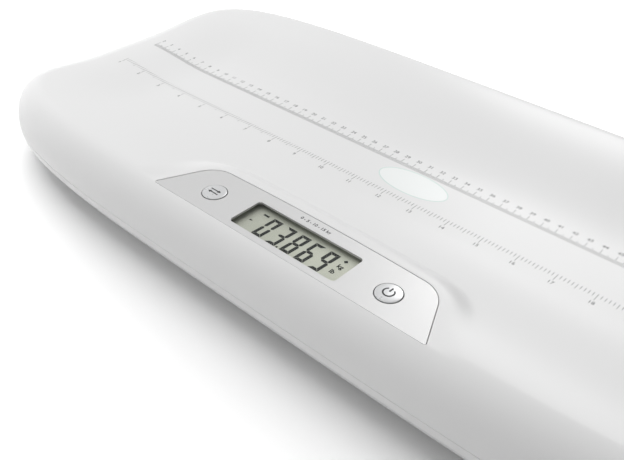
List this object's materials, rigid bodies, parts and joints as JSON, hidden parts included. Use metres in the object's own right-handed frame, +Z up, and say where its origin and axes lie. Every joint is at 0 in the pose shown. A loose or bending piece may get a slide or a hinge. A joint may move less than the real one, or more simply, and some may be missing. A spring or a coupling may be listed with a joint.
{
  "type": "digital baby weighing scale",
  "caption": "Baby scale with a shallow trough-shaped tray, a rim-mounted display panel with round keys, and load cell feet under a two-shell body.",
  "frame": {"origin": "on the floor under the middle of the body, at the foot pads' faces", "axes": "+X to the right along the display and the rulers, +Y from the display side to the rear, +Z up"},
  "size_m": [0.65, 0.296, 0.0569],
  "materials": {
    "tray_gloss": "white gloss, fine moulded surface",
    "cover_white": "white, fine spark texture",
    "white_plastic": "white, satin",
    "panel_silver": "pearl silver, satin lacquer",
    "key_silver": "silver lacquer, polished dome",
    "lens_clear": "clear pane",
    "lcd_green": "grey green reflective display",
    "frame_grey": "light grey",
    "strip_rubber": "conductive silicone strip",
    "board_green": "green solder resist",
    "switch_black": "black",
    "pad_rubber": "grey rubber",
    "contact_nickel": "nickel plated spring steel",
    "lead_grey": "grey insulation",
    "battery_jacket": "plain dark jacket",
    "cell_steel": "stamped steel",
    "screw_steel": "zinc plated"
  },
  "bodies": {
    "housing": {"battery_1": "battery_jacket", "battery_2": "battery_jacket", "battery_3": "battery_jacket", "battery_4": "battery_jacket", "battery_contact_link_1": "contact_nickel", "battery_contact_link_2": "contact_nickel", "battery_contact_link_3": "contact_nickel", "battery_contact_negative": "contact_nickel", "battery_contact_positive": "contact_nickel", "battery_lead_negative": "lead_grey", "battery_lead_positive": "lead_grey", "board_header": "white_plastic", "board_screw_1": "screw_steel", "board_screw_2": "screw_steel", "board_screw_3": "screw_steel", "board_screw_4": "screw_steel", "bottom_cover": "cover_white", "circuit_board": "board_green", "control_panel": "panel_silver", "display_lens": "lens_clear", "housing_screw_1": "screw_steel", "housing_screw_2": "screw_steel", "housing_screw_3": "screw_steel", "housing_screw_4": "screw_steel", "housing_screw_5": "screw_steel", "housing_screw_6": "screw_steel", "housing_screw_7": "screw_steel", "housing_screw_8": "screw_steel", "lcd_contact_strip": "strip_rubber", "lcd_frame": "frame_grey", "lcd_glass": "lcd_green", "load_cell_front_left": "cell_steel", "load_cell_front_right": "cell_steel", "load_cell_holder_front_left": "white_plastic", "load_cell_holder_front_right": "white_plastic", "load_cell_holder_rear_left": "white_plastic", "load_cell_holder_rear_right": "white_plastic", "load_cell_lead_front_left": "lead_grey", "load_cell_lead_front_right": "lead_grey", "load_cell_lead_rear_left": "lead_grey", "load_cell_lead_rear_right": "lead_grey", "load_cell_rear_left": "cell_steel", "load_cell_rear_right": "cell_steel", "power_switch": "switch_black", "top_shell": "tray_gloss", "unit_switch": "switch_black"},
    "unit_key": {"unit_button": "key_silver", "unit_switch_plunger": "white_plastic"},
    "power_key": {"power_button": "key_silver", "power_switch_plunger": "white_plastic"},
    "door": {"battery_door": "cover_white"},
    "foot_front_left": {"foot_cup_front_left": "white_plastic", "foot_pad_front_left": "pad_rubber"},
    "foot_front_right": {"foot_cup_front_right": "white_plastic", "foot_pad_front_right": "pad_rubber"},
    "foot_rear_left": {"foot_cup_rear_left": "white_plastic", "foot_pad_rear_left": "pad_rubber"},
    "foot_rear_right": {"foot_cup_rear_right": "white_plastic", "foot_pad_rear_right": "pad_rubber"}
  },
  "joints": [
    {"name": "unit_key_press", "type": "slide", "parent": "housing", "child": "unit_key", "axis": [0, 0, -1], "range_m": [0, 0.0008], "stiffness_N_per_m": 1500},
    {"name": "power_key_press", "type": "slide", "parent": "housing", "child": "power_key", "axis": [0, 0, -1], "range_m": [0, 0.0008], "stiffness_N_per_m": 1500},
    {"name": "battery_door_hinge", "type": "hinge", "parent": "housing", "child": "door", "pos_m": [0.0325, 0, 0.011], "axis": [0, -1, 0], "range_deg": [0, 95]},
    {"name": "foot_front_left_travel", "type": "slide", "parent": "housing", "child": "foot_front_left", "axis": [0, 0, 1], "range_m": [0, 0.00025], "stiffness_N_per_m": 5000},
    {"name": "foot_front_right_travel", "type": "slide", "parent": "housing", "child": "foot_front_right", "axis": [0, 0, 1], "range_m": [0, 0.00025], "stiffness_N_per_m": 5000},
    {"name": "foot_rear_left_travel", "type": "slide", "parent": "housing", "child": "foot_rear_left", "axis": [0, 0, 1], "range_m": [0, 0.00025], "stiffness_N_per_m": 5000},
    {"name": "foot_rear_right_travel", "type": "slide", "parent": "housing", "child": "foot_rear_right", "axis": [0, 0, 1], "range_m": [0, 0.00025], "stiffness_N_per_m": 5000}
  ]
}
